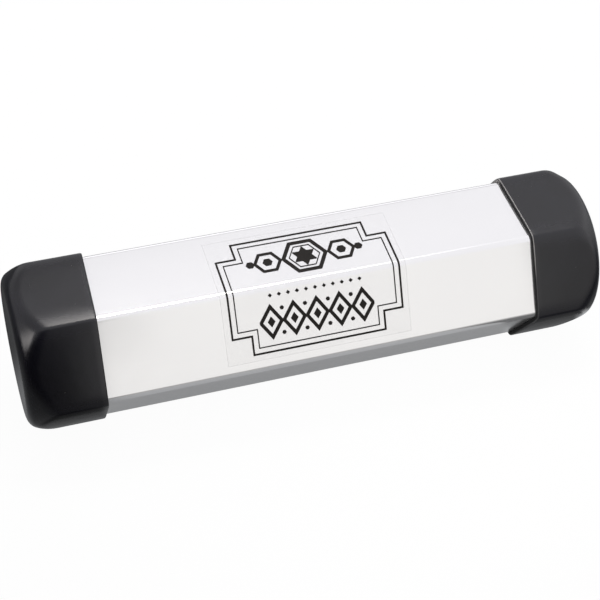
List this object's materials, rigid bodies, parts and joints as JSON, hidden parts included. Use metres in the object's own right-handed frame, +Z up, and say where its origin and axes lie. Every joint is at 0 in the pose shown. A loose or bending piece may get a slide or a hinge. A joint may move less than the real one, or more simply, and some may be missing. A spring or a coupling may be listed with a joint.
{
  "type": "ganza shaker",
  "caption": "Hexagonal metal tube shaker with soft black push-on end caps, a clear film label and loose steel shot that runs from end to end.",
  "frame": {"origin": "under the middle of the shaker, on the surface that it lies on", "axes": "+X along the tube, towards the right cap; +Z up, square to the flat it lies on; the label faces -Y and up"},
  "size_m": [0.2286, 0.0674, 0.0597],
  "materials": {
    "tube_metal": "bright drawn aluminium, smooth and pale",
    "cap_vinyl": "glossy black soft vinyl",
    "disc_metal": "stamped sheet, satin",
    "label_print": "clear film with black print",
    "shot_steel": "polished steel shot"
  },
  "bodies": {
    "tube_body": {"tube": "tube_metal", "label_film": "label_print"},
    "left_cap_body": {"left_cap": "cap_vinyl", "left_end_disc": "disc_metal"},
    "right_cap_body": {"right_cap": "cap_vinyl", "right_end_disc": "disc_metal"},
    "lower_shot_body": {"shot_lower": "shot_steel"},
    "middle_shot_body": {"shot_middle": "shot_steel"},
    "upper_shot_body": {"shot_upper": "shot_steel"}
  },
  "joints": [
    {"name": "left_cap_pull", "type": "slide", "parent": "tube_body", "child": "left_cap_body", "axis": [-1, 0, 0], "range_m": [0, 0.03]},
    {"name": "right_cap_pull", "type": "slide", "parent": "tube_body", "child": "right_cap_body", "axis": [1, 0, 0], "range_m": [0, 0.03]},
    {"name": "lower_shot_run", "type": "slide", "parent": "tube_body", "child": "lower_shot_body", "axis": [1, 0, 0], "range_m": [-0.0471, 0.0651]},
    {"name": "middle_shot_run", "type": "slide", "parent": "tube_body", "child": "middle_shot_body", "axis": [1, 0, 0], "range_m": [-0.0685, 0.0805]},
    {"name": "upper_shot_run", "type": "slide", "parent": "tube_body", "child": "upper_shot_body", "axis": [1, 0, 0], "range_m": [-0.0997, 0.0815]}
  ]
}
